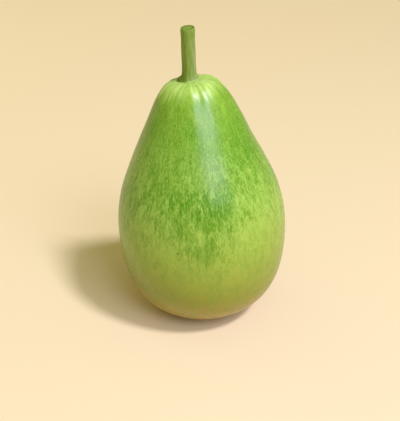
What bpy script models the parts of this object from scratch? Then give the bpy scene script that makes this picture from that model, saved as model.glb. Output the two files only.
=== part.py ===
"""A pear-shaped bottle gourd, picked with its stem on, standing on its blossom end.

Units are metres and +Z is up. The origin is on the surface that the gourd rests on, under the middle
of its box.
The fruit and the stem are each turned from a profile, and a formula then gives each its lobes and
ridges and bends it along its leaning axis.
"""
import math

import bmesh
import bpy
from mathutils import Vector

# Driving dimensions
BELLY_RADIUS = 0.0725
BODY_HEIGHT = 0.210
STEM_LENGTH = 0.0408
STEM_RADIUS = 0.0055
GAP = 0.0003                # clearance between the stem and the fruit

# The fruit's axis is upright in the belly, bends to -X through the neck, and tips over again at the crown
AXIS_X = 0.00084            # with AXIS_Y, brings the middle of the gourd's box over the origin
AXIS_Y = 0.00012
NECK_LEAN = -0.0082         # how far the neck carries the axis over
NECK_START = 0.19 * BODY_HEIGHT
NECK_TOP = 0.945 * BODY_HEIGHT
CROWN_LEAN = -0.0038        # how far the crown carries it on
CROWN_BEND = 0.77 * BODY_HEIGHT

# The fruit's outline from the crown down to the flat, as shares of BELLY_RADIUS and BODY_HEIGHT
BODY_OUTLINE = (
    (0.170, 0.995), (0.282, 0.985), (0.389, 0.944), (0.490, 0.880), (0.633, 0.773),
    (0.790, 0.660), (0.912, 0.560), (0.984, 0.455), (1.000, 0.345), (0.972, 0.243),
    (0.906, 0.160), (0.800, 0.095), (0.645, 0.046), (0.465, 0.016), (0.345, 0.004), (0.250, 0.000),
)
BODY_STEPS = 80             # faces round the fruit
BODY_RING = 0.0062          # about how far apart the fruit's rings of points are

# The seat and the socket in the crown that the stem grows from
SEAT_HEIGHT = 0.9935 * BODY_HEIGHT
SEAT_RADIUS = 0.0100
SEAT_BLEND = 0.0060         # width of skin over which the furrows set in round the seat
SOCKET_RADIUS = 0.0054
SOCKET_DEPTH = 0.0040

# The dimple at the blossom end and the corky button that the flower left in it, as (radius, height)
BLOSSOM_END = (
    (0.0075, 0.0000), (0.0062, 0.0008), (0.0045, 0.0016), (0.0036, 0.0017),
    (0.0026, 0.0009), (0.0013, 0.0006), (0.0000, 0.0006),
)

# Furrows that run out from the stem over the crown and fade down the neck
FURROW_DEPTH = 0.0010
FURROW_WIDTH = 0.11         # in radians
FURROW_TOP = 0.955 * BODY_HEIGHT        # where they are deepest
FURROW_END = 0.80 * BODY_HEIGHT         # where they have faded out
CROWN_START = 0.93 * BODY_HEIGHT        # above this the furrows also press the crown down
CROWN_SHARE = 0.75

# The furrows, uneven as they grew, as (direction in degrees, share of FURROW_DEPTH)
FURROWS = (
    (-160, 0.6), (-137, 0.5), (-114, 0.7), (-97, 0.2), (-75, 1.0), (-58, 0.4), (-27, 0.7), (-9, 0.5),
    (14, 0.8), (37, 0.4), (60, 0.9), (86, 0.6), (110, 0.9), (131, 0.4), (155, 0.8), (178, 0.5),
)

# The body is out of round by these waves, as (height, how many round, phase), fully between two
# heights and less in the neck
SWELL_WAVES = ((0.0051, 2, 2.67), (0.0034, 3, 1.07))
SWELL_FULL = (0.060, 0.120)
SWELL_FOOT = 0.004
SWELL_NECK = 0.200
NECK_ROUNDING = 0.6

# The stem, as (radius as a share of STEM_RADIUS, distance from the seat)
STEM_OUTLINE = (
    (1.030, STEM_LENGTH - 0.0010), (1.015, STEM_LENGTH - 0.0040), (0.995, 0.0330), (1.005, 0.0240),
    (1.000, 0.0150), (1.010, 0.0090), (1.080, 0.0046), (1.280, 0.0012),
)
STEM_STEPS = 60
STEM_RING = 0.0024
STEM_ANGLES = 5             # main ridges of the stem, which end in the lobes of its foot
RIDGE_HEIGHT = 0.030        # share of the stem's radius
MINOR_RIDGE = 0.6           # share of the relief that is ridges between the main ones
STEM_TWIST = 7.0            # radians that the ridges turn in a metre
STEM_LEAN = -0.038          # the stem's lean once it has turned up from the tipped crown
STEM_TURN = 0.0050          # how far up the stem that turn goes
STEM_DRIFT = 0.45           # how fast it curves away along +Y, per metre

# The stem's foot, which reaches out in a nub on its -X side. Heights are shares of the radius
FOOT_LOBE = 0.06
FOOT_NUB = 0.36
NUB_WIDTH = 0.30            # in radians
FOOT_REACH = 0.0055         # how far up the stem the lobes fade out
NUB_REACH = (0.0014, 0.0044)            # between which heights the nub fades out
FOOT_EDGE = 0.0003          # how far the foot draws in below its widest point

# The cut end, which is a little dished and slopes, as rises across the stem
CUT_DISH = 0.0006
CUT_SLOPE = 0.04
CUT_TIP = 0.14
CUT_RIM = ((0.00, 1.0), (0.45, 1.0), (0.78, 0.2), (0.94, 0.0))      # share of radius, of dish

SKIN_GREEN = (0.235, 0.400, 0.075)
STEM_GREEN = (0.185, 0.265, 0.055)
SKIN_ROUGHNESS = 0.35
STEM_ROUGHNESS = 0.6
MERGE_DISTANCE = 1e-5
SHARP_ANGLE = math.radians(40)


def clear_scene():
    for obj in list(bpy.data.objects):
        bpy.data.objects.remove(obj)


def smooth_line(points, spacing):
    """Points about `spacing` apart on a Catmull-Rom curve through (radius, height) pairs."""
    knots = [Vector(p) for p in points]
    knots = [2 * knots[0] - knots[1], *knots, 2 * knots[-1] - knots[-2]]
    line = []
    for before, start, end, after in zip(knots, knots[1:], knots[2:], knots[3:]):
        count = max(1, round((end - start).length / spacing))
        for i in range(count):
            t = i / count
            line.append(0.5 * (2 * start + (end - before) * t
                               + (2 * before - 5 * start + 4 * end - after) * t ** 2
                               + (3 * start - before - 3 * end + after) * t ** 3))
    return [*line, knots[-2]]


def smooth_step(value, low, high):
    t = min(1.0, max(0.0, (value - low) / (high - low)))
    return t * t * (3 - 2 * t)


def bump(angle, middle, width):
    """1 in one direction and falling off smoothly round the circle, for a width in radians."""
    return math.exp((math.cos(angle - middle) - 1) / width ** 2)


def waves(angle, terms):
    return sum(height * math.sin(count * angle + phase) for height, count, phase in terms)


def plain_material(name, colour, roughness):
    material = bpy.data.materials.new(name)
    material.use_nodes = True
    shader = material.node_tree.nodes["Principled BSDF"]
    shader.inputs["Base Color"].default_value = (*colour, 1)
    shader.inputs["Roughness"].default_value = roughness
    shader.inputs["Metallic"].default_value = 0.0
    return material


def turned(name, profile, steps, collection):
    """A solid turned about Z from a profile that starts and ends on the axis, as one mesh."""
    outline = bpy.data.meshes.new(name + "_outline")
    outline.from_pydata([(r, 0, z) for r, z in profile],
                        [(i, i + 1) for i in range(len(profile) - 1)], [])
    lathe = bpy.data.objects.new(name + "_lathe", outline)
    collection.objects.link(lathe)
    screw = lathe.modifiers.new("turn", "SCREW")
    screw.steps = screw.render_steps = steps
    screw.use_merge_vertices = True
    screw.merge_threshold = MERGE_DISTANCE
    graph = bpy.context.evaluated_depsgraph_get()
    mesh = bpy.data.meshes.new_from_object(lathe.evaluated_get(graph))
    bpy.data.objects.remove(lathe)
    mesh.name = name
    obj = bpy.data.objects.new(name, mesh)
    collection.objects.link(obj)
    return obj


def finish(obj, formula, material):
    """Moves each point of the turned solid to where the formula puts it, and gives it its material."""
    for vertex in obj.data.vertices:
        vertex.co = formula(vertex.co)
    shape = bmesh.new()
    shape.from_mesh(obj.data)
    bmesh.ops.recalc_face_normals(shape, faces=shape.faces)
    shape.to_mesh(obj.data)
    shape.free()
    obj.data.shade_smooth()
    obj.data.set_sharp_from_angle(angle=SHARP_ANGLE)
    obj.data.materials.clear()
    obj.data.materials.append(material)


def fruit_axis(height):
    """(place along X, tilt) of the fruit's axis."""
    neck = NECK_TOP - NECK_START
    crown = BODY_HEIGHT - CROWN_BEND
    t = min(1.0, max(0.0, (height - NECK_START) / neck))
    u = max(0.0, (height - CROWN_BEND) / crown)
    x = AXIS_X + NECK_LEAN * t * t * (3 - 2 * t) + CROWN_LEAN * u * u
    slope = NECK_LEAN * 6 * t * (1 - t) / neck + CROWN_LEAN * 2 * u / crown
    return x, math.atan(slope)


def furrow(angle, height):
    """How far the skin is drawn in at the crown, which is uneven round the stem."""
    fade = smooth_step(height, FURROW_END, FURROW_TOP)
    return FURROW_DEPTH * fade * sum(share * bump(angle, math.radians(direction), FURROW_WIDTH)
                                     for direction, share in FURROWS)


def swell(angle, height):
    """Share by which the body stands out of round, none at the flat and little at the crown."""
    full_from, full_to = SWELL_FULL
    rise = smooth_step(height, SWELL_FOOT, full_from)
    neck = 1 - NECK_ROUNDING * smooth_step(height, full_to, SWELL_NECK)
    return rise * neck * waves(angle, SWELL_WAVES)


def fruit_shape(point):
    """Lobes, furrows and lean of the fruit. The seat, the socket and the flat keep their form."""
    radius = math.hypot(point.x, point.y)
    angle = math.atan2(point.y, point.x)
    drop = furrow(angle, point.z) * smooth_step(radius, SEAT_RADIUS, SEAT_RADIUS + SEAT_BLEND)
    if radius > SEAT_RADIUS:
        radius *= 1 + swell(angle, point.z)
    radius -= drop
    height = point.z - CROWN_SHARE * drop * smooth_step(point.z, CROWN_START, BODY_HEIGHT)
    x, tilt = fruit_axis(point.z)
    across = radius * math.cos(angle)
    return Vector((x + across * math.cos(tilt), AXIS_Y + radius * math.sin(angle),
                   height - across * math.sin(tilt)))


def stem_shape(point):
    """Ridges, foot and curve of the stem, which turns up from the tipped crown. Its plug stays round."""
    radius = math.hypot(point.x, point.y)
    angle = math.atan2(point.y, point.x)
    along = point.z
    on_plug = radius < SOCKET_RADIUS and along < 2 * GAP
    if not on_plug:
        turn = STEM_ANGLES * (angle - math.pi - STEM_TWIST * along)
        ridges = (1 - MINOR_RIDGE) * math.cos(turn) + MINOR_RIDGE * math.cos(2 * turn)
        lobes = FOOT_LOBE * math.cos(turn) * (1 - smooth_step(along, 0.0, FOOT_REACH))
        nub = FOOT_NUB * bump(angle, math.pi, NUB_WIDTH) * (1 - smooth_step(along, *NUB_REACH))
        radius *= 1 + RIDGE_HEIGHT * ridges + lobes + nub
        slope = CUT_SLOPE * math.cos(angle) + CUT_TIP * math.sin(angle)
        along += slope * radius * smooth_step(along, 0.5 * STEM_LENGTH, STEM_LENGTH)
    base_x, tilt = fruit_axis(SEAT_HEIGHT + min(0.0, along))
    climb = max(0.0, along)
    t = min(1.0, climb / STEM_TURN)
    turned_up = STEM_TURN * (t ** 3 - 0.5 * t ** 4) + max(0.0, climb - STEM_TURN)
    lean = tilt + (STEM_LEAN - tilt) * t * t * (3 - 2 * t)
    x = base_x + tilt * climb + (STEM_LEAN - tilt) * turned_up
    y = AXIS_Y + STEM_DRIFT * climb ** 2
    across = radius * math.cos(angle)
    return Vector((x + across * math.cos(lean), y + radius * math.sin(angle),
                   SEAT_HEIGHT + along - across * math.sin(lean)))


def make_fruit(collection):
    body = [(r * BELLY_RADIUS, z * BODY_HEIGHT) for r, z in BODY_OUTLINE]
    profile = [
        (0, SEAT_HEIGHT - SOCKET_DEPTH),
        (SOCKET_RADIUS, SEAT_HEIGHT - SOCKET_DEPTH),
        (SOCKET_RADIUS, SEAT_HEIGHT),
        (SEAT_RADIUS, SEAT_HEIGHT),
        *smooth_line(body, BODY_RING),
        *BLOSSOM_END,
    ]
    fruit = turned("fruit", profile, BODY_STEPS, collection)
    finish(fruit, fruit_shape, plain_material("skin", SKIN_GREEN, SKIN_ROUGHNESS))


def make_stem(collection):
    shaft = [(r * STEM_RADIUS, along) for r, along in STEM_OUTLINE]
    plug_radius = SOCKET_RADIUS - GAP
    cut_radius = shaft[0][0]
    foot_radius = shaft[-1][0]
    profile = [
        *((share * cut_radius, STEM_LENGTH - dish * CUT_DISH) for share, dish in CUT_RIM),
        *smooth_line(shaft, STEM_RING),
        (foot_radius - FOOT_EDGE, GAP),
        (plug_radius, GAP),
        (plug_radius, GAP - SOCKET_DEPTH),
        (0, GAP - SOCKET_DEPTH),
    ]
    stem = turned("stem", profile, STEM_STEPS, collection)
    finish(stem, stem_shape, plain_material("stem_skin", STEM_GREEN, STEM_ROUGHNESS))


def main():
    clear_scene()
    gourd = bpy.data.collections.new("bottle_gourd")
    bpy.context.scene.collection.children.link(gourd)
    make_fruit(gourd)
    make_stem(gourd)


main()
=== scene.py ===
"""The looks of a pear-shaped bottle gourd with its stem on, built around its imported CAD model.

Units are metres. Two dense meshes replace the CAD's fruit and stem. They repeat its profiles and
formulas and add what is too fine for it. Colours come from noise in coordinates of the skin itself.
"""

import math

import bpy
import numpy as np
from mathutils import Matrix, Vector, noise


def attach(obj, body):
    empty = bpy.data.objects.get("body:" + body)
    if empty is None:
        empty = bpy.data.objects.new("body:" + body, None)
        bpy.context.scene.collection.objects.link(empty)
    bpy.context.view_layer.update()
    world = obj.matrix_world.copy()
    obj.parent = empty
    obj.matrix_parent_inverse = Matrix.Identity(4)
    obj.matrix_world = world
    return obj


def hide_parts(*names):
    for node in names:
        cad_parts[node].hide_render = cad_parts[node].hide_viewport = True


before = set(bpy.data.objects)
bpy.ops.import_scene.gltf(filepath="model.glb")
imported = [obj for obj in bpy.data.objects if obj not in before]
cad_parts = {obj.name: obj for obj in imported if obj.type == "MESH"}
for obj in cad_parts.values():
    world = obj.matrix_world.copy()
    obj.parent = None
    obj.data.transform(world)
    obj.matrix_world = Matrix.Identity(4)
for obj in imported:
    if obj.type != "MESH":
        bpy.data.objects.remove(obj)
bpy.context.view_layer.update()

# The fruit, as in the CAD
BELLY_RADIUS = 0.0725
BODY_HEIGHT = 0.210
AXIS_X = 0.00084
AXIS_Y = 0.00012
NECK_LEAN = -0.0082
NECK_START = 0.19 * BODY_HEIGHT
NECK_TOP = 0.945 * BODY_HEIGHT
CROWN_LEAN = -0.0038
CROWN_BEND = 0.77 * BODY_HEIGHT
BODY_OUTLINE = (
    (0.170, 0.995), (0.282, 0.985), (0.389, 0.944), (0.490, 0.880), (0.633, 0.773),
    (0.790, 0.660), (0.912, 0.560), (0.984, 0.455), (1.000, 0.345), (0.972, 0.243),
    (0.906, 0.160), (0.800, 0.095), (0.645, 0.046), (0.465, 0.016), (0.345, 0.004), (0.250, 0.000),
)
SEAT_HEIGHT = 0.9935 * BODY_HEIGHT
SEAT_RADIUS = 0.0100
SEAT_BLEND = 0.0060
SOCKET_RADIUS = 0.0054
SOCKET_DEPTH = 0.0040
GAP = 0.0003
BLOSSOM_END = (
    (0.0075, 0.0000), (0.0062, 0.0008), (0.0045, 0.0016), (0.0036, 0.0017),
    (0.0026, 0.0009), (0.0013, 0.0006), (0.0000, 0.0006),
)
FURROW_DEPTH = 0.0010
FURROW_WIDTH = 0.11
FURROW_TOP = 0.955 * BODY_HEIGHT
FURROW_END = 0.80 * BODY_HEIGHT
CROWN_START = 0.93 * BODY_HEIGHT
CROWN_SHARE = 0.75
FURROWS = (
    (-160, 0.6), (-137, 0.5), (-114, 0.7), (-97, 0.2), (-75, 1.0), (-58, 0.4), (-27, 0.7), (-9, 0.5),
    (14, 0.8), (37, 0.4), (60, 0.9), (86, 0.6), (110, 0.9), (131, 0.4), (155, 0.8), (178, 0.5),
)
SWELL_WAVES = ((0.0051, 2, 2.67), (0.0034, 3, 1.07))
SWELL_FULL = (0.060, 0.120)
SWELL_FOOT = 0.004
SWELL_NECK = 0.200
NECK_ROUNDING = 0.6

# The stem, as in the CAD
STEM_LENGTH = 0.0408
STEM_RADIUS = 0.0055
STEM_OUTLINE = (
    (1.030, STEM_LENGTH - 0.0010), (1.015, STEM_LENGTH - 0.0040), (0.995, 0.0330), (1.005, 0.0240),
    (1.000, 0.0150), (1.010, 0.0090), (1.080, 0.0046), (1.280, 0.0012),
)
STEM_ANGLES = 5
RIDGE_HEIGHT = 0.030
MINOR_RIDGE = 0.6
STEM_TWIST = 7.0
STEM_LEAN = -0.038
STEM_TURN = 0.0050
STEM_DRIFT = 0.45
FOOT_LOBE = 0.06
FOOT_NUB = 0.36
NUB_WIDTH = 0.30
FOOT_REACH = 0.0055
CUT_DISH = 0.0006
CUT_SLOPE = 0.04
CUT_TIP = 0.14
CUT_RIM = ((0.00, 1.0), (0.45, 1.0), (0.78, 0.2), (0.94, 0.0))

TOLERANCE = 1e-6

# How fine the two meshes are: faces round each, and the distance between rings
SKIN_STEPS = 360
SKIN_RING = 0.00116
SOCKET_RING = 0.0024
BLOSSOM_RING = 0.0006
BARK_STEPS = 200
BARK_RING = 0.00045
PLUG_RING = 0.0015

# The skin's relief over the CAD's form, as (height, size) of its lumps and of its faint lengthwise ribs
LUMPS = ((0.00022, 0.030), (0.00008, 0.012))
SKIN_RIBS = (0.00007, 0.0055)
SKIN_RIB_STRETCH = 0.12
RELIEF_START = 0.010                    # it sets in between the floor and this height

# The bark's foot spreads on over the crown, as (radius as a share of STEM_RADIUS, distance from the seat)
BARK_SKIRT = ((1.36, 0.0005), (1.46, 0.0000), (1.50, -0.0006))
NUB_UNDERSIDE = (-0.0003, 0.0009)       # between which heights the nub sets in
NUB_REACH = (0.0022, 0.0041)            # between which it ends, more steeply than in the CAD
NUB_SHADE_WIDTH = 0.50                  # how far round the painted shade on the nub reaches, in radians
PAINTED_SHEEN_SIDE = (-0.35, 0.60)                # where the bark is painted paler, a painted sheen on its lit right side: direction and width in radians

# The bark's relief is softer than the CAD's, with fine ribs along it. Heights are shares of its radius
SOFT_RIDGES = 0.6
BARK_RIB_COUNT = 24
BARK_RIB_HEIGHT = 0.005

# The cut end's colours set in over this stretch below its rim, and change inwards at this rate
CUT_EDGE = 0.0011
CUT_RATE = 1.3

# The blossom end turns to cork inwards between these radii
CORK_EDGE = (0.0034, 0.0068)

# The flecks grow with the fruit's girth: their size goes by this power of the share of BELLY_RADIUS, which
# has FLECK_START added so that they don't vanish on the axis
FLECK_GROWTH = 0.6
FLECK_START = 0.02

# Where the green runs lower, and where it ends higher, as (direction in degrees, width in radians,
# share of BODY_HEIGHT)
LEVEL_BUMPS = (
    (-150, 0.30, -0.015), (-115, 0.22, -0.045), (-96, 0.05, 0.020), (-83, 0.10, 0.045), (-63, 0.10, -0.02),
    (-38, 0.36, -0.110), (-8, 0.12, 0.030), (20, 0.25, -0.040), (62, 0.30, 0.050), (104, 0.30, -0.075),
    (132, 0.14, 0.055), (158, 0.22, -0.040), (-178, 0.14, 0.040),
)

# Patches of deeper green, and of paler, as (direction, width in radians, share of BODY_HEIGHT, its width,
# strength)
DEEP_PATCHES = (
    (-84, 0.22, 0.585, 0.055, 0.30), (-84, 0.26, 0.420, 0.050, 0.34), (-82, 0.04, 0.462, 0.022, 0.60),
    (-98, 0.025, 0.448, 0.014, 0.35), (-112, 0.16, 0.540, 0.045, -0.10), (-150, 0.35, 0.680, 0.090, -0.22),
    (-35, 0.40, 0.650, 0.070, -0.30), (-22, 0.35, 0.790, 0.100, 0.36),
    (8, 0.30, 0.600, 0.060, 0.20), (40, 0.06, 0.450, 0.030, 0.30), (66, 0.30, 0.570, 0.060, 0.26),
    (75, 0.25, 0.410, 0.060, 0.30), (140, 0.30, 0.590, 0.060, 0.24), (158, 0.20, 0.430, 0.050, 0.25),
)

# Small marks on the rind, as (direction in degrees, share of BODY_HEIGHT, radius, colour)
SCARS = (
    (-104.0, 0.432, 0.0011, (104, 92, 34)), (-122.0, 0.352, 0.0010, (112, 98, 40)),
    (-98.5, 0.444, 0.0007, (98, 118, 30)), (24.0, 0.470, 0.0009, (110, 100, 38)),
    (98.0, 0.300, 0.0012, (114, 98, 42)), (141.0, 0.560, 0.0008, (106, 104, 36)),
)

# The noises that the colours come from, as (size, stretch, detail, roughness, shift)
GRAIN = (0.0011, 3.2, 2.0, 0.55, 0.0)
MOTTLE = (0.0032, 5.0, 2.0, 0.50, 3.7)
SPECKS = (0.0008, 1.6, 1.0, 0.50, 14.2)
STREAKS = (0.0014, 11.0, 1.0, 0.50, 8.4)
PATCHES = (0.0120, 1.8, 2.0, 0.50, 1.9)
DRIPS = (0.0050, 4.5, 3.0, 0.50, 6.2)
HAZE = (0.0150, 1.6, 3.0, 0.50, 4.9)
CLOUDS = (0.0045, 1.8, 5.0, 0.68, 11.3)
BANDS = (0.0120, 0.22, 3.0, 0.50, 12.6)
DOTS = (0.0009, 2.0, 1.0, 0.50, 17.5)
RAYS = (0.0044, 10.0, 2.0, 0.50, 2.6)
PORES = (0.0012, 1.0, 2.0, 0.50, 5.0)
FIBRES = (0.0011, 16.0, 3.0, 0.50, 0.0)
BLOTCHES = (0.0040, 2.0, 2.0, 0.50, 4.4)
FLESH = (0.0013, 1.0, 2.0, 0.50, 7.0)

# The flecks are a sum of these, as (noise, the values between which it rises, how far it swings the sum)
FLECK_LAYERS = ((GRAIN, 0.26, 0.74, 0.70), (MOTTLE, 0.28, 0.72, 0.40), (SPECKS, 0.30, 0.70, 0.36))

# How far drips, patches and haze shift the green's lower edge, as shares of BODY_HEIGHT
DRIP_SHIFT = -0.64
PATCH_SHIFT = -0.20
HAZE_SHIFT = -0.34

# How shiny and how rough to the touch the skin and the bark are
SKIN_ROUGHNESS = (0.25, 0.34)           # on the green, and on the flecks
SKIN_SPECULAR = 0.40
SKIN_BUMP = 0.00006
BARK_ROUGHNESS = 0.6
BARK_BUMP = 0.00010
FLOOR_ROUGHNESS = 0.85

# Heights over the seat between which parts of the bark's colours fade
FOOT_FADE = (0.0000, 0.0020)
# where the nub's painted shade fades out upwards
NUB_SHADE_FADE = (0.0022, 0.0052)
# where the painted sheen on the stem fades out towards the cut
PAINTED_SHEEN_FADE = (0.0310, 0.0370)

# Colours as 0 to 255 values. The skin's ground and flecks go by height, as (share of BODY_HEIGHT, colour)
# Near the floor both turn tan and yellow, partly the skin's own colour and partly painted warm light bounced
# up from below
GROUND_COLOURS = (
    (0.00, (150, 160, 76)), (0.25, (118, 144, 36)), (0.45, (92, 134, 18)), (0.60, (79, 130, 12)),
    (0.75, (80, 132, 18)), (0.92, (92, 142, 22)), (0.975, (122, 164, 40)), (1.00, (134, 174, 56)),
)
FLECK_COLOURS = (
    (0.00, (176, 176, 104)), (0.02, (182, 162, 86)), (0.07, (166, 136, 56)), (0.20, (138, 138, 42)),
    (0.40, (147, 170, 62)), (0.60, (152, 186, 80)), (0.85, (126, 168, 58)), (0.95, (152, 184, 70)),
    (1.00, (172, 202, 90)),
)
CLOUD_COLOUR = (112, 142, 38)
BAND_COLOUR = (176, 164, 88)
DOT_COLOUR = (170, 202, 92)
# darker green of the crown's furrows, partly painted shade
FURROW_GREEN_AND_SHADE_COLOUR = (96, 142, 28)
RAY_COLOUR = (194, 221, 124)
CORK_COLOUR = (146, 116, 66)
BARK_GROOVE_SHADE_AND_RIDGE_COLOURS = ((98, 122, 20), (108, 132, 28))          # between the ridges, with painted shade in the grooves, and on them
FIBRE_COLOUR = (132, 152, 60)
BLOTCH_COLOUR = (90, 116, 18)
# the painted sheen on the stem's lit side
PAINTED_SHEEN_COLOUR = (150, 158, 104)
FOOT_COLOUR = (150, 178, 76)
# painted shade on the nub at the stem's foot
NUB_SHADE_COLOUR = (84, 98, 20)
CUT_RIM_COLOUR = (92, 112, 26)
FLESH_COLOURS = ((100, 124, 34), (128, 152, 60))
FLOOR_COLOUR = (226, 205, 171)
BACKDROP_COLOUR = (238, 223, 197)

# The studio. The glow and the lights have linear colours
FLOOR_REACH = 12.0
SUN_DISTANCE = 2.0
GLOW_COLOUR = (1.0, 0.98, 0.44)
GLOW_STRENGTH = 0.40

# The photograph's camera, from the fruit's outline in its 400 x 421 pixels
IMAGE_LONG_SIDE = 421
FOCAL_PIXELS = 700
SENSOR = 36.0
PITCH = math.radians(28.0)
ROLL = math.radians(0.6)
BASE_IN_CAMERA = (0.0009759, -0.0808529, 0.6518898)     # the origin, right, up and forward


def smooth_step(value, low, high):
    t = np.clip((value - low) / (high - low), 0.0, 1.0)
    return t * t * (3 - 2 * t)


def round_bump(angle, middle, width):
    """1 in one direction and falling off smoothly round the circle, for a width in radians."""
    return np.exp((np.cos(angle - middle) - 1) / width ** 2)


def waves(angle, terms):
    return sum(height * np.sin(count * angle + phase) for height, count, phase in terms)


def smooth_line(points, spacing):
    """Points about `spacing` apart on a Catmull-Rom curve through (radius, height) pairs."""
    knots = [Vector(p) for p in points]
    knots = [2 * knots[0] - knots[1], *knots, 2 * knots[-1] - knots[-2]]
    line = []
    for before, start, end, after in zip(knots, knots[1:], knots[2:], knots[3:]):
        count = max(1, round((end - start).length / spacing))
        for i in range(count):
            t = i / count
            line.append(0.5 * (2 * start + (end - before) * t
                               + (2 * before - 5 * start + 4 * end - after) * t ** 2
                               + (3 * start - before - 3 * end + after) * t ** 3))
    return [*line, knots[-2]]


def filled(points, spacing):
    """Points about `spacing` apart on the straight lines between the given ones."""
    line = []
    for start, end in zip(points, points[1:]):
        start, end = Vector(start), Vector(end)
        count = max(1, math.ceil((end - start).length / spacing))
        line += [start.lerp(end, i / count) for i in range(count)]
    return [*line, Vector(points[-1])]


def fruit_axis(height):
    """(place along X, tilt) of the fruit's axis."""
    neck = NECK_TOP - NECK_START
    crown = BODY_HEIGHT - CROWN_BEND
    t = np.clip((height - NECK_START) / neck, 0.0, 1.0)
    u = np.maximum(0.0, (height - CROWN_BEND) / crown)
    x = AXIS_X + NECK_LEAN * t * t * (3 - 2 * t) + CROWN_LEAN * u * u
    slope = NECK_LEAN * 6 * t * (1 - t) / neck + CROWN_LEAN * 2 * u / crown
    return x, np.arctan(slope)


def furrow_share(angle):
    """How deep the crown's furrows are in one direction, as a share of FURROW_DEPTH."""
    return sum(share * round_bump(angle, math.radians(direction), FURROW_WIDTH)
               for direction, share in FURROWS)


def furrow(angle, height):
    return FURROW_DEPTH * smooth_step(height, FURROW_END, FURROW_TOP) * furrow_share(angle)


def swell(angle, height):
    full_from, full_to = SWELL_FULL
    rise = smooth_step(height, SWELL_FOOT, full_from)
    neck = 1 - NECK_ROUNDING * smooth_step(height, full_to, SWELL_NECK)
    return rise * neck * waves(angle, SWELL_WAVES)


def fruit_points(radius, angle, height, flat_radius):
    """Where the CAD's formula puts points. flat_radius is the radius without any fine relief."""
    drop = furrow(angle, height) * smooth_step(flat_radius, SEAT_RADIUS, SEAT_RADIUS + SEAT_BLEND)
    radius = radius * np.where(flat_radius > SEAT_RADIUS + TOLERANCE, 1 + swell(angle, height), 1.0) - drop
    lowered = height - CROWN_SHARE * drop * smooth_step(height, CROWN_START, BODY_HEIGHT)
    x, tilt = fruit_axis(height)
    across = radius * np.cos(angle)
    return np.stack([x + across * np.cos(tilt), AXIS_Y + radius * np.sin(angle),
                     lowered - across * np.sin(tilt)], axis=-1)


def ring_mesh(name, points):
    """A closed mesh from rings of points, the first and last of which are single points on the axis."""
    rings, steps = points.shape[:2]
    inner = points[1:-1].reshape(-1, 3)
    top, bottom = len(inner), len(inner) + 1
    vertices = np.vstack([inner, points[0, 0], points[-1, 0]])
    faces = []
    for i in range(rings - 3):
        for j in range(steps):
            k = (j + 1) % steps
            faces.append((i * steps + j, (i + 1) * steps + j, (i + 1) * steps + k, i * steps + k))
    last = (rings - 3) * steps
    for j in range(steps):
        k = (j + 1) % steps
        faces.append((top, j, k))
        faces.append((bottom, last + k, last + j))
    mesh = bpy.data.meshes.new(name)
    mesh.from_pydata(vertices.tolist(), [], faces)
    mesh.shade_smooth()
    piece = bpy.data.objects.new(name, mesh)
    bpy.context.scene.collection.objects.link(piece)
    return piece


def store(piece, name, values, kind):
    """Keeps one value for each vertex, given as rings of values, as an attribute for the material."""
    flat = np.concatenate([values[1:-1].reshape(-1, *values.shape[2:]), values[:1, 0], values[-1:, 0]])
    attribute = piece.data.attributes.new(name, kind, "POINT")
    attribute.data.foreach_set("vector" if kind == "FLOAT_VECTOR" else "value", flat.ravel())


def field(vectors, size):
    """Smooth noise of about -1 to 1 at points given in metres, with features of the given size."""
    flat = (vectors.reshape(-1, 3) / size).tolist()
    return np.array([noise.noise(v) for v in flat]).reshape(vectors.shape[:-1])


def skin_line():
    """The fruit's profile from the socket to the blossom end, and along it the flecks' growth and the
    distance in flecks."""
    body = [(r * BELLY_RADIUS, z * BODY_HEIGHT) for r, z in BODY_OUTLINE]
    socket = filled([(0, SEAT_HEIGHT - SOCKET_DEPTH), (SOCKET_RADIUS, SEAT_HEIGHT - SOCKET_DEPTH),
                     (SOCKET_RADIUS, SEAT_HEIGHT), (SEAT_RADIUS, SEAT_HEIGHT), body[0]], SOCKET_RING)
    blossom = smooth_line([body[-1], *BLOSSOM_END], BLOSSOM_RING)
    line = np.array([*socket[:-1], *smooth_line(body, SKIN_RING), *blossom[1:]])
    line[:, 1] = np.maximum(line[:, 1], 0.0)
    growth = (FLECK_START + line[:, 0] / BELLY_RADIUS) ** FLECK_GROWTH
    run = np.concatenate([[0], np.cumsum(np.hypot(*np.diff(line, axis=0).T) / growth[1:])])
    return line, growth, run


def skin_place(direction, share):
    """The skin's own coordinates in one direction, in degrees, at a share of the fruit's height."""
    line, growth, run = skin_line()
    nearest = np.abs(line[:, 1] - share * BODY_HEIGHT).argmin()
    spread = line[nearest, 0] / growth[nearest]
    angle = math.radians(direction)
    return (spread * math.cos(angle), spread * math.sin(angle), run[nearest])


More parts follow.
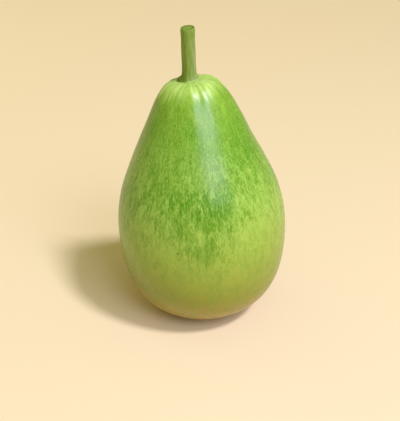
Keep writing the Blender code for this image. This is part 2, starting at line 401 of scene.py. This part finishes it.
def make_skin():
    line, growth, run = skin_line()
    slope = np.gradient(line, axis=0)
    slope /= np.linalg.norm(slope, axis=1)[:, None]
    normal = np.stack([-slope[:, 1], slope[:, 0]], axis=-1)

    angle = np.linspace(0, 2 * math.pi, SKIN_STEPS, endpoint=False)[None, :]
    radius = line[:, 0][:, None]
    height = line[:, 1][:, None]
    run = run[:, None] + 0 * angle
    spread = radius / growth[:, None]
    place = np.stack([spread * np.cos(angle), spread * np.sin(angle), run], axis=-1)

    relief = skin_relief(place)
    relief = relief * smooth_step(radius, SEAT_RADIUS, SEAT_RADIUS + SEAT_BLEND)
    relief = relief * smooth_step(height, 0.0, RELIEF_START)
    new_radius = radius + relief * normal[:, 0][:, None]
    new_height = height + relief * normal[:, 1][:, None]
    points = fruit_points(new_radius, angle, new_height, radius + 0 * angle)

    piece = ring_mesh("fruit_skin", points)
    store(piece, "place", place, "FLOAT_VECTOR")
    around = 0.5 * BELLY_RADIUS
    store(piece, "round", np.stack([around * np.cos(angle) + 0 * run, around * np.sin(angle) + 0 * run, run],
                                   axis=-1), "FLOAT_VECTOR")
    store(piece, "rise", height / BODY_HEIGHT + 0 * angle, "FLOAT")
    bumps = sum(share * round_bump(angle, math.radians(direction), width)
                for direction, width, share in LEVEL_BUMPS)
    store(piece, "level", height / BODY_HEIGHT + bumps, "FLOAT")
    deep = sum(strength * round_bump(angle, math.radians(direction), width)
               * np.exp(-((height / BODY_HEIGHT - share) / reach) ** 2)
               for direction, width, share, reach, strength in DEEP_PATCHES)
    store(piece, "deep", deep, "FLOAT")
    store(piece, "furrow", furrow_share(angle) + 0 * height, "FLOAT")
    in_dimple = np.where(height < 0.5 * BODY_HEIGHT, 1 - smooth_step(radius, *CORK_EDGE), 0.0)
    store(piece, "cork", in_dimple + 0 * angle, "FLOAT")
    return piece


def skin_relief(place):
    """How far the skin stands out from the CAD's form: soft lumps and faint lengthwise ribs."""
    lumps = sum(height * field(place, size) for height, size in LUMPS)
    stretched = place * np.array([1, 1, SKIN_RIB_STRETCH])
    rib_height, rib_size = SKIN_RIBS
    return lumps + rib_height * field(stretched, rib_size)


def make_bark():
    shaft = [(r * STEM_RADIUS, along) for r, along in (*STEM_OUTLINE, *BARK_SKIRT)]
    plug_radius = SOCKET_RADIUS - GAP
    cut_radius = shaft[0][0]
    cut = [(share * cut_radius, STEM_LENGTH - dish * CUT_DISH) for share, dish in CUT_RIM]
    cut = smooth_line([*cut, shaft[0]], BARK_RING)
    under = filled([shaft[-1], (plug_radius, shaft[-1][1]), (plug_radius, GAP - SOCKET_DEPTH),
                    (0, GAP - SOCKET_DEPTH)], PLUG_RING)
    line = np.array([*cut[:-1], *smooth_line(shaft, BARK_RING), *under[1:]])
    angle = np.linspace(0, 2 * math.pi, BARK_STEPS, endpoint=False)[None, :]
    radius = line[:, 0][:, None] + 0 * angle
    along = line[:, 1][:, None] + 0 * angle
    on_plug = (radius < SOCKET_RADIUS) & (along < 2 * GAP)

    turn = STEM_ANGLES * (angle - math.pi - STEM_TWIST * along)
    ridges = (1 - MINOR_RIDGE) * np.cos(turn) + MINOR_RIDGE * np.cos(2 * turn)
    lobes = FOOT_LOBE * np.cos(turn) * (1 - smooth_step(along, 0.0, FOOT_REACH))
    nub = FOOT_NUB * round_bump(angle, math.pi, NUB_WIDTH) * (1 - smooth_step(along, *NUB_REACH))
    nub = nub * smooth_step(along, *NUB_UNDERSIDE)
    ribs = np.cos(BARK_RIB_COUNT * (angle - STEM_TWIST * along))
    growth = 1 + SOFT_RIDGES * RIDGE_HEIGHT * ridges + BARK_RIB_HEIGHT * ribs + lobes + nub
    wide = np.where(on_plug, radius, radius * growth)
    slope = CUT_SLOPE * np.cos(angle) + CUT_TIP * np.sin(angle)
    near_cut = smooth_step(along, 0.5 * STEM_LENGTH, STEM_LENGTH)
    high = along + np.where(on_plug, 0.0, slope * wide * near_cut)

    base_x, tilt = fruit_axis(SEAT_HEIGHT + np.minimum(0.0, high))
    climb = np.maximum(0.0, high)
    t = np.minimum(1.0, climb / STEM_TURN)
    turned_up = STEM_TURN * (t ** 3 - 0.5 * t ** 4) + np.maximum(0.0, climb - STEM_TURN)
    lean = tilt + (STEM_LEAN - tilt) * t * t * (3 - 2 * t)
    x = base_x + tilt * climb + (STEM_LEAN - tilt) * turned_up
    y = AXIS_Y + STEM_DRIFT * climb ** 2
    across = wide * np.cos(angle)
    points = np.stack([x + across * np.cos(lean), y + wide * np.sin(angle),
                       SEAT_HEIGHT + high - across * np.sin(lean)], axis=-1)

    piece = ring_mesh("stem_bark", points)
    place = np.stack([radius * np.cos(angle), radius * np.sin(angle), along], axis=-1)
    store(piece, "place", place, "FLOAT_VECTOR")
    store(piece, "ridge", ridges, "FLOAT")
    store(piece, "along", along, "FLOAT")
    # how far round the nub's painted shade reaches
    store(piece, "nub", round_bump(angle, math.pi, NUB_SHADE_WIDTH) + 0 * along, "FLOAT")
    # where the stem's lit side gets its painted sheen
    store(piece, "painted_sheen", round_bump(angle, *PAINTED_SHEEN_SIDE) + 0 * along, "FLOAT")
    into_cut = np.where(along > STEM_LENGTH - CUT_EDGE, CUT_RATE * (1 - radius / cut_radius), 0.0)
    store(piece, "cut", into_cut, "FLOAT")
    return piece


def linear(red, green, blue):
    """A colour of 0 to 255 values, as the linear values that a shader takes."""
    shares = [value / 255 for value in (red, green, blue)]
    return (*((s / 12.92 if s <= 0.04045 else ((s + 0.055) / 1.055) ** 2.4) for s in shares), 1.0)


class Nodes:
    """Adds nodes to one material."""

    def __init__(self, name):
        self.material = bpy.data.materials.new(name)
        self.material.use_nodes = True
        self.tree = self.material.node_tree
        self.shader = self.tree.nodes["Principled BSDF"]

    def set(self, node, key, value):
        if isinstance(value, bpy.types.NodeSocket):
            self.tree.links.new(value, node.inputs[key])
        else:
            node.inputs[key].default_value = value

    def add(self, kind, inputs, **settings):
        node = self.tree.nodes.new("ShaderNode" + kind)
        for name, value in settings.items():
            setattr(node, name, value)
        for key, value in inputs.items():
            self.set(node, key, value)
        return node

    def attribute(self, name, output):
        return self.add("Attribute", {}, attribute_name=name).outputs[output]

    def math(self, operation, a, b):
        return self.add("Math", {0: a, 1: b}, operation=operation).outputs[0]

    def distance(self, vector, point):
        return self.add("VectorMath", {0: vector, 1: point}, operation="DISTANCE").outputs["Value"]

    def scaled(self, noise, height):
        """Noise of 0 to 1 as a swing of `height` about 0."""
        return self.add("Math", {0: noise, 1: height, 2: -0.5 * height}, operation="MULTIPLY_ADD").outputs[0]

    def clamped(self, value):
        return self.add("Clamp", {"Value": value}).outputs[0]

    def steps(self, value, low, high, to_low=0.0, to_high=1.0):
        """A smooth change from to_low to to_high as value goes from low to high."""
        inputs = {"Value": value, "From Min": low, "From Max": high, "To Min": to_low, "To Max": to_high}
        return self.add("MapRange", inputs, interpolation_type="SMOOTHSTEP").outputs[0]

    def noise(self, vector, size, stretch, detail, roughness, shift):
        """Noise of 0 to 1 with features of `size` metres, `stretch` times as long as wide."""
        scale = (1 / size, 1 / size, 1 / size / stretch)
        inputs = {"Vector": vector, "Scale": scale, "Location": (shift, shift, shift)}
        moved = self.add("Mapping", inputs).outputs[0]
        inputs = {"Vector": moved, "Scale": 1.0, "Detail": detail, "Roughness": roughness}
        return self.add("TexNoise", inputs).outputs["Fac"]

    def mix(self, share, *colours):
        """One colour with a share of another. Each is a node's, or given as 0 to 255 values."""
        first, second = (c if isinstance(c, bpy.types.NodeSocket) else linear(*c) for c in colours)
        return self.add("Mix", {0: share, 6: first, 7: second}, data_type="RGBA").outputs[2]

    def ramp(self, value, stops):
        """A colour for each height, from (position, colour) pairs."""
        node = self.add("ValToRGB", {"Fac": value})
        ramp = node.color_ramp
        while len(ramp.elements) < len(stops):
            ramp.elements.new(0.5)
        for element, (position, colour) in zip(ramp.elements, stops):
            element.position = position
            element.color = linear(*colour)
        return node.outputs["Color"]

    def bump(self, height, distance):
        node = self.add("Bump", {"Height": height, "Distance": distance, "Strength": 1.0})
        return node.outputs["Normal"]


def skin_material():
    n = Nodes("waxy_rind")
    place = n.attribute("place", "Vector")
    rise = n.attribute("rise", "Fac")
    level = n.attribute("level", "Fac")

    flecks = 0.0
    for layer, low, high, swing in FLECK_LAYERS:
        flecks = n.math("ADD", flecks, n.scaled(n.steps(n.noise(place, *layer), low, high), swing))
    flecks = n.math("ADD", flecks, n.steps(n.noise(place, *STREAKS), 0.57, 0.76, 0.0, 0.46))

    # The share of pale skin grows downwards, in a ragged edge with drips over a soft haze of green
    ragged = n.math("ADD", level, n.scaled(n.noise(place, *PATCHES), PATCH_SHIFT))
    ragged = n.math("ADD", ragged, n.scaled(n.noise(place, *DRIPS), DRIP_SHIFT))
    hazy = n.math("ADD", level, n.scaled(n.noise(place, *HAZE), HAZE_SHIFT))
    share = n.math("ADD", n.steps(ragged, 0.41, 0.59, 0.46, 0.0), n.steps(hazy, 0.22, 0.60, 0.78, 0.24))
    share = n.math("ADD", share, n.steps(ragged, 0.58, 0.70, 0.0, 0.30))
    share = n.math("ADD", share, n.steps(ragged, 0.72, 0.92, 0.0, -0.20))
    share = n.math("ADD", share, flecks)
    pale = n.clamped(n.math("SUBTRACT", share, n.attribute("deep", "Fac")))

    # The pale skin has faint clouds, and near the floor faint straw-coloured bands
    clouds = n.steps(n.noise(place, *CLOUDS), 0.42, 0.64, 0.0, 0.50)
    fleck_colour = n.mix(clouds, n.ramp(rise, FLECK_COLOURS), CLOUD_COLOUR)
    low_down = n.math("MULTIPLY", n.steps(rise, 0.05, 0.22, 0.34, 0.0), n.steps(rise, 0.0, 0.06, 0.25, 1.0))
    bands = n.math("MULTIPLY", n.steps(n.noise(place, *BANDS), 0.42, 0.62), low_down)
    fleck_colour = n.mix(bands, fleck_colour, BAND_COLOUR)
    colour = n.mix(pale, n.ramp(rise, GROUND_COLOURS), fleck_colour)

    # Above the belly small pale dots are scattered over the green
    dots = n.steps(n.noise(place, *DOTS), 0.56, 0.68, 0.0, 0.42)
    dots = n.math("MULTIPLY", dots, n.steps(rise, 0.58, 0.80))
    colour = n.mix(dots, colour, DOT_COLOUR)

    # Round the stem the ribs are pale, with fine rays, and the furrows between them darker green, partly
    # their own colour and partly painted shade
    crown = n.steps(rise, 0.88, 0.965)
    shade = n.math("MULTIPLY", n.math("MULTIPLY", n.attribute("furrow", "Fac"), crown), 0.85)
    colour = n.mix(shade, colour, FURROW_GREEN_AND_SHADE_COLOUR)
    rays = n.steps(n.noise(n.attribute("round", "Vector"), *RAYS), 0.30, 0.70, 0.30, 0.80)
    collar = n.math("ADD", rise, n.scaled(rays, 0.040))
    colour = n.mix(n.math("MULTIPLY", rays, n.steps(collar, 0.940, 0.995)), colour, RAY_COLOUR)

    colour = n.mix(n.math("MULTIPLY", n.attribute("cork", "Fac"), 0.85), colour, CORK_COLOUR)
    for direction, height_share, radius, scar_colour in SCARS:
        away = n.distance(place, skin_place(direction, height_share))
        colour = n.mix(n.steps(away, 0.5 * radius, radius, 0.85, 0.0), colour, scar_colour)
    n.set(n.shader, "Base Color", colour)
    n.set(n.shader, "Roughness", n.steps(flecks, -0.4, 0.4, *SKIN_ROUGHNESS))
    n.set(n.shader, "Normal", n.bump(n.noise(place, *PORES), SKIN_BUMP))
    n.shader.inputs["Specular IOR Level"].default_value = SKIN_SPECULAR
    return n.material


def bark_material():
    n = Nodes("stem_rind")
    place = n.attribute("place", "Vector")
    along = n.attribute("along", "Fac")
    cut = n.attribute("cut", "Fac")
    fibres = n.noise(place, *FIBRES)
    # The grooves between the ridges get painted shade
    colour = n.mix(n.steps(n.attribute("ridge", "Fac"), -0.8, 0.9), *BARK_GROOVE_SHADE_AND_RIDGE_COLOURS)
    colour = n.mix(n.steps(fibres, 0.42, 0.66, 0.0, 0.75), colour, FIBRE_COLOUR)
    colour = n.mix(n.steps(n.noise(place, *BLOTCHES), 0.40, 0.70, 0.0, 0.35), colour, BLOTCH_COLOUR)

    # One side is painted paler, a painted sheen where the light grazes the stem, but for the stretch under
    # the cut
    painted_sheen = n.math("MULTIPLY", n.attribute("painted_sheen", "Fac"), n.steps(fibres, 0.35, 0.60, 0.30, 0.70))
    painted_sheen = n.math("MULTIPLY", painted_sheen, n.steps(along, *PAINTED_SHEEN_FADE, 1.0, 0.0))
    colour = n.mix(painted_sheen, colour, PAINTED_SHEEN_COLOUR)

    # The foot passes into the pale skin of the crown, and its nub on the shaded left side is painted dark, a
    # painted shade
    foot = n.steps(along, *FOOT_FADE, 1.0, 0.0)
    colour = n.mix(n.math("MULTIPLY", foot, 0.75), colour, FOOT_COLOUR)
    nub = n.math("MULTIPLY", n.attribute("nub", "Fac"), n.steps(along, *NUB_SHADE_FADE, 0.90, 0.0))
    colour = n.mix(nub, colour, NUB_SHADE_COLOUR)

    # The cut end shows the paler flesh inside a dark rim
    colour = n.mix(n.steps(cut, 0.02, 0.30), colour, CUT_RIM_COLOUR)
    flesh_colour = n.mix(n.steps(n.noise(place, *FLESH), 0.40, 0.65), *FLESH_COLOURS)
    colour = n.mix(n.steps(cut, 0.30, 0.62), colour, flesh_colour)
    n.set(n.shader, "Base Color", colour)
    n.shader.inputs["Roughness"].default_value = BARK_ROUGHNESS
    n.set(n.shader, "Normal", n.bump(fibres, BARK_BUMP))
    return n.material


def make_camera():
    right = Vector((1, 0, 0))
    up = Vector((0, math.sin(PITCH), math.cos(PITCH)))
    forward = Vector((0, math.cos(PITCH), -math.sin(PITCH)))
    rolled_right = math.cos(ROLL) * right + math.sin(ROLL) * up
    rolled_up = math.cos(ROLL) * up - math.sin(ROLL) * right
    across, above, ahead = BASE_IN_CAMERA
    data = bpy.data.cameras.new("camera")
    data.sensor_width = SENSOR
    data.lens = SENSOR * FOCAL_PIXELS / IMAGE_LONG_SIDE
    camera = bpy.data.objects.new("camera", data)
    turn = Matrix((rolled_right, rolled_up, -forward)).transposed().to_4x4()
    spot = -(across * rolled_right + above * rolled_up + ahead * forward)
    camera.matrix_world = Matrix.Translation(spot) @ turn
    bpy.context.scene.collection.objects.link(camera)
    bpy.context.scene.camera = camera


def aim_light(data, azimuth, elevation, distance, power, colour):
    """Points a light at the fruit's middle. Azimuth 0 is behind the camera, and 90 to its right."""
    data.energy = power
    data.color = colour
    light = bpy.data.objects.new(data.name, data)
    middle = Vector((0, 0, 0.5 * BODY_HEIGHT))
    side = math.radians(azimuth)
    rise = math.radians(elevation)
    away = Vector((math.sin(side) * math.cos(rise), -math.cos(side) * math.cos(rise), math.sin(rise)))
    light.location = middle + distance * away
    light.rotation_euler = away.to_track_quat("Z", "Y").to_euler()
    bpy.context.scene.collection.objects.link(light)


def area_light(name, azimuth, elevation, distance, size, power, colour):
    data = bpy.data.lights.new(name, "AREA")
    data.shape = "RECTANGLE"
    data.size, data.size_y = size
    aim_light(data, azimuth, elevation, distance, power, colour)


def sun_light(name, azimuth, elevation, width, power, colour):
    """A light from far off, `width` degrees across, which also lights the floor evenly."""
    data = bpy.data.lights.new(name, "SUN")
    data.angle = math.radians(width)
    aim_light(data, azimuth, elevation, SUN_DISTANCE, power, colour)


def make_stage():
    mesh = bpy.data.meshes.new("floor")
    corners = [(x * FLOOR_REACH, y * FLOOR_REACH, 0) for x, y in ((-1, -1), (1, -1), (1, 1), (-1, 1))]
    mesh.from_pydata(corners, [], [(0, 1, 2, 3)])
    floor = bpy.data.objects.new("floor", mesh)
    bpy.context.scene.collection.objects.link(floor)
    n = Nodes("pale_floor")
    n.shader.inputs["Base Color"].default_value = linear(*FLOOR_COLOUR)
    n.shader.inputs["Roughness"].default_value = FLOOR_ROUGHNESS
    mesh.materials.append(n.material)

    # The studio glows yellow on the gourd, and the camera sees it as pale as the floor
    world = bpy.data.worlds.new("studio")
    world.use_nodes = True
    tree = world.node_tree
    glow = tree.nodes["Background"]
    glow.inputs["Color"].default_value = (*GLOW_COLOUR, 1.0)
    glow.inputs["Strength"].default_value = GLOW_STRENGTH
    backdrop = tree.nodes.new("ShaderNodeBackground")
    backdrop.inputs["Color"].default_value = linear(*BACKDROP_COLOUR)
    rays = tree.nodes.new("ShaderNodeLightPath")
    mixed = tree.nodes.new("ShaderNodeMixShader")
    tree.links.new(rays.outputs["Is Camera Ray"], mixed.inputs["Fac"])
    tree.links.new(glow.outputs["Background"], mixed.inputs[1])
    tree.links.new(backdrop.outputs["Background"], mixed.inputs[2])
    tree.links.new(mixed.outputs["Shader"], tree.nodes["World Output"].inputs["Surface"])
    bpy.context.scene.world = world
    sun_light("key", 55, 57, 9.0, 2.25, (1.01, 1.01, 1.14))
    area_light("window", 32, 38, 1.5, (0.84, 0.72), 10.5, (0.80, 0.82, 1.22))
    area_light("sky", 18, 40, 1.6, (1.00, 0.80), 3.5, (0.80, 0.92, 1.08))
    area_light("bounce", -125, 30, 1.6, (1.20, 1.00), 2.0, (1.04, 0.90, 0.24))
    bpy.context.scene.view_settings.view_transform = "Standard"


def dress(piece, node, material):
    piece.data.materials.append(material)
    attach(piece, "root")
    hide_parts(node)


make_camera()
make_stage()
dress(make_skin(), "fruit", skin_material())
dress(make_bark(), "stem", bark_material())
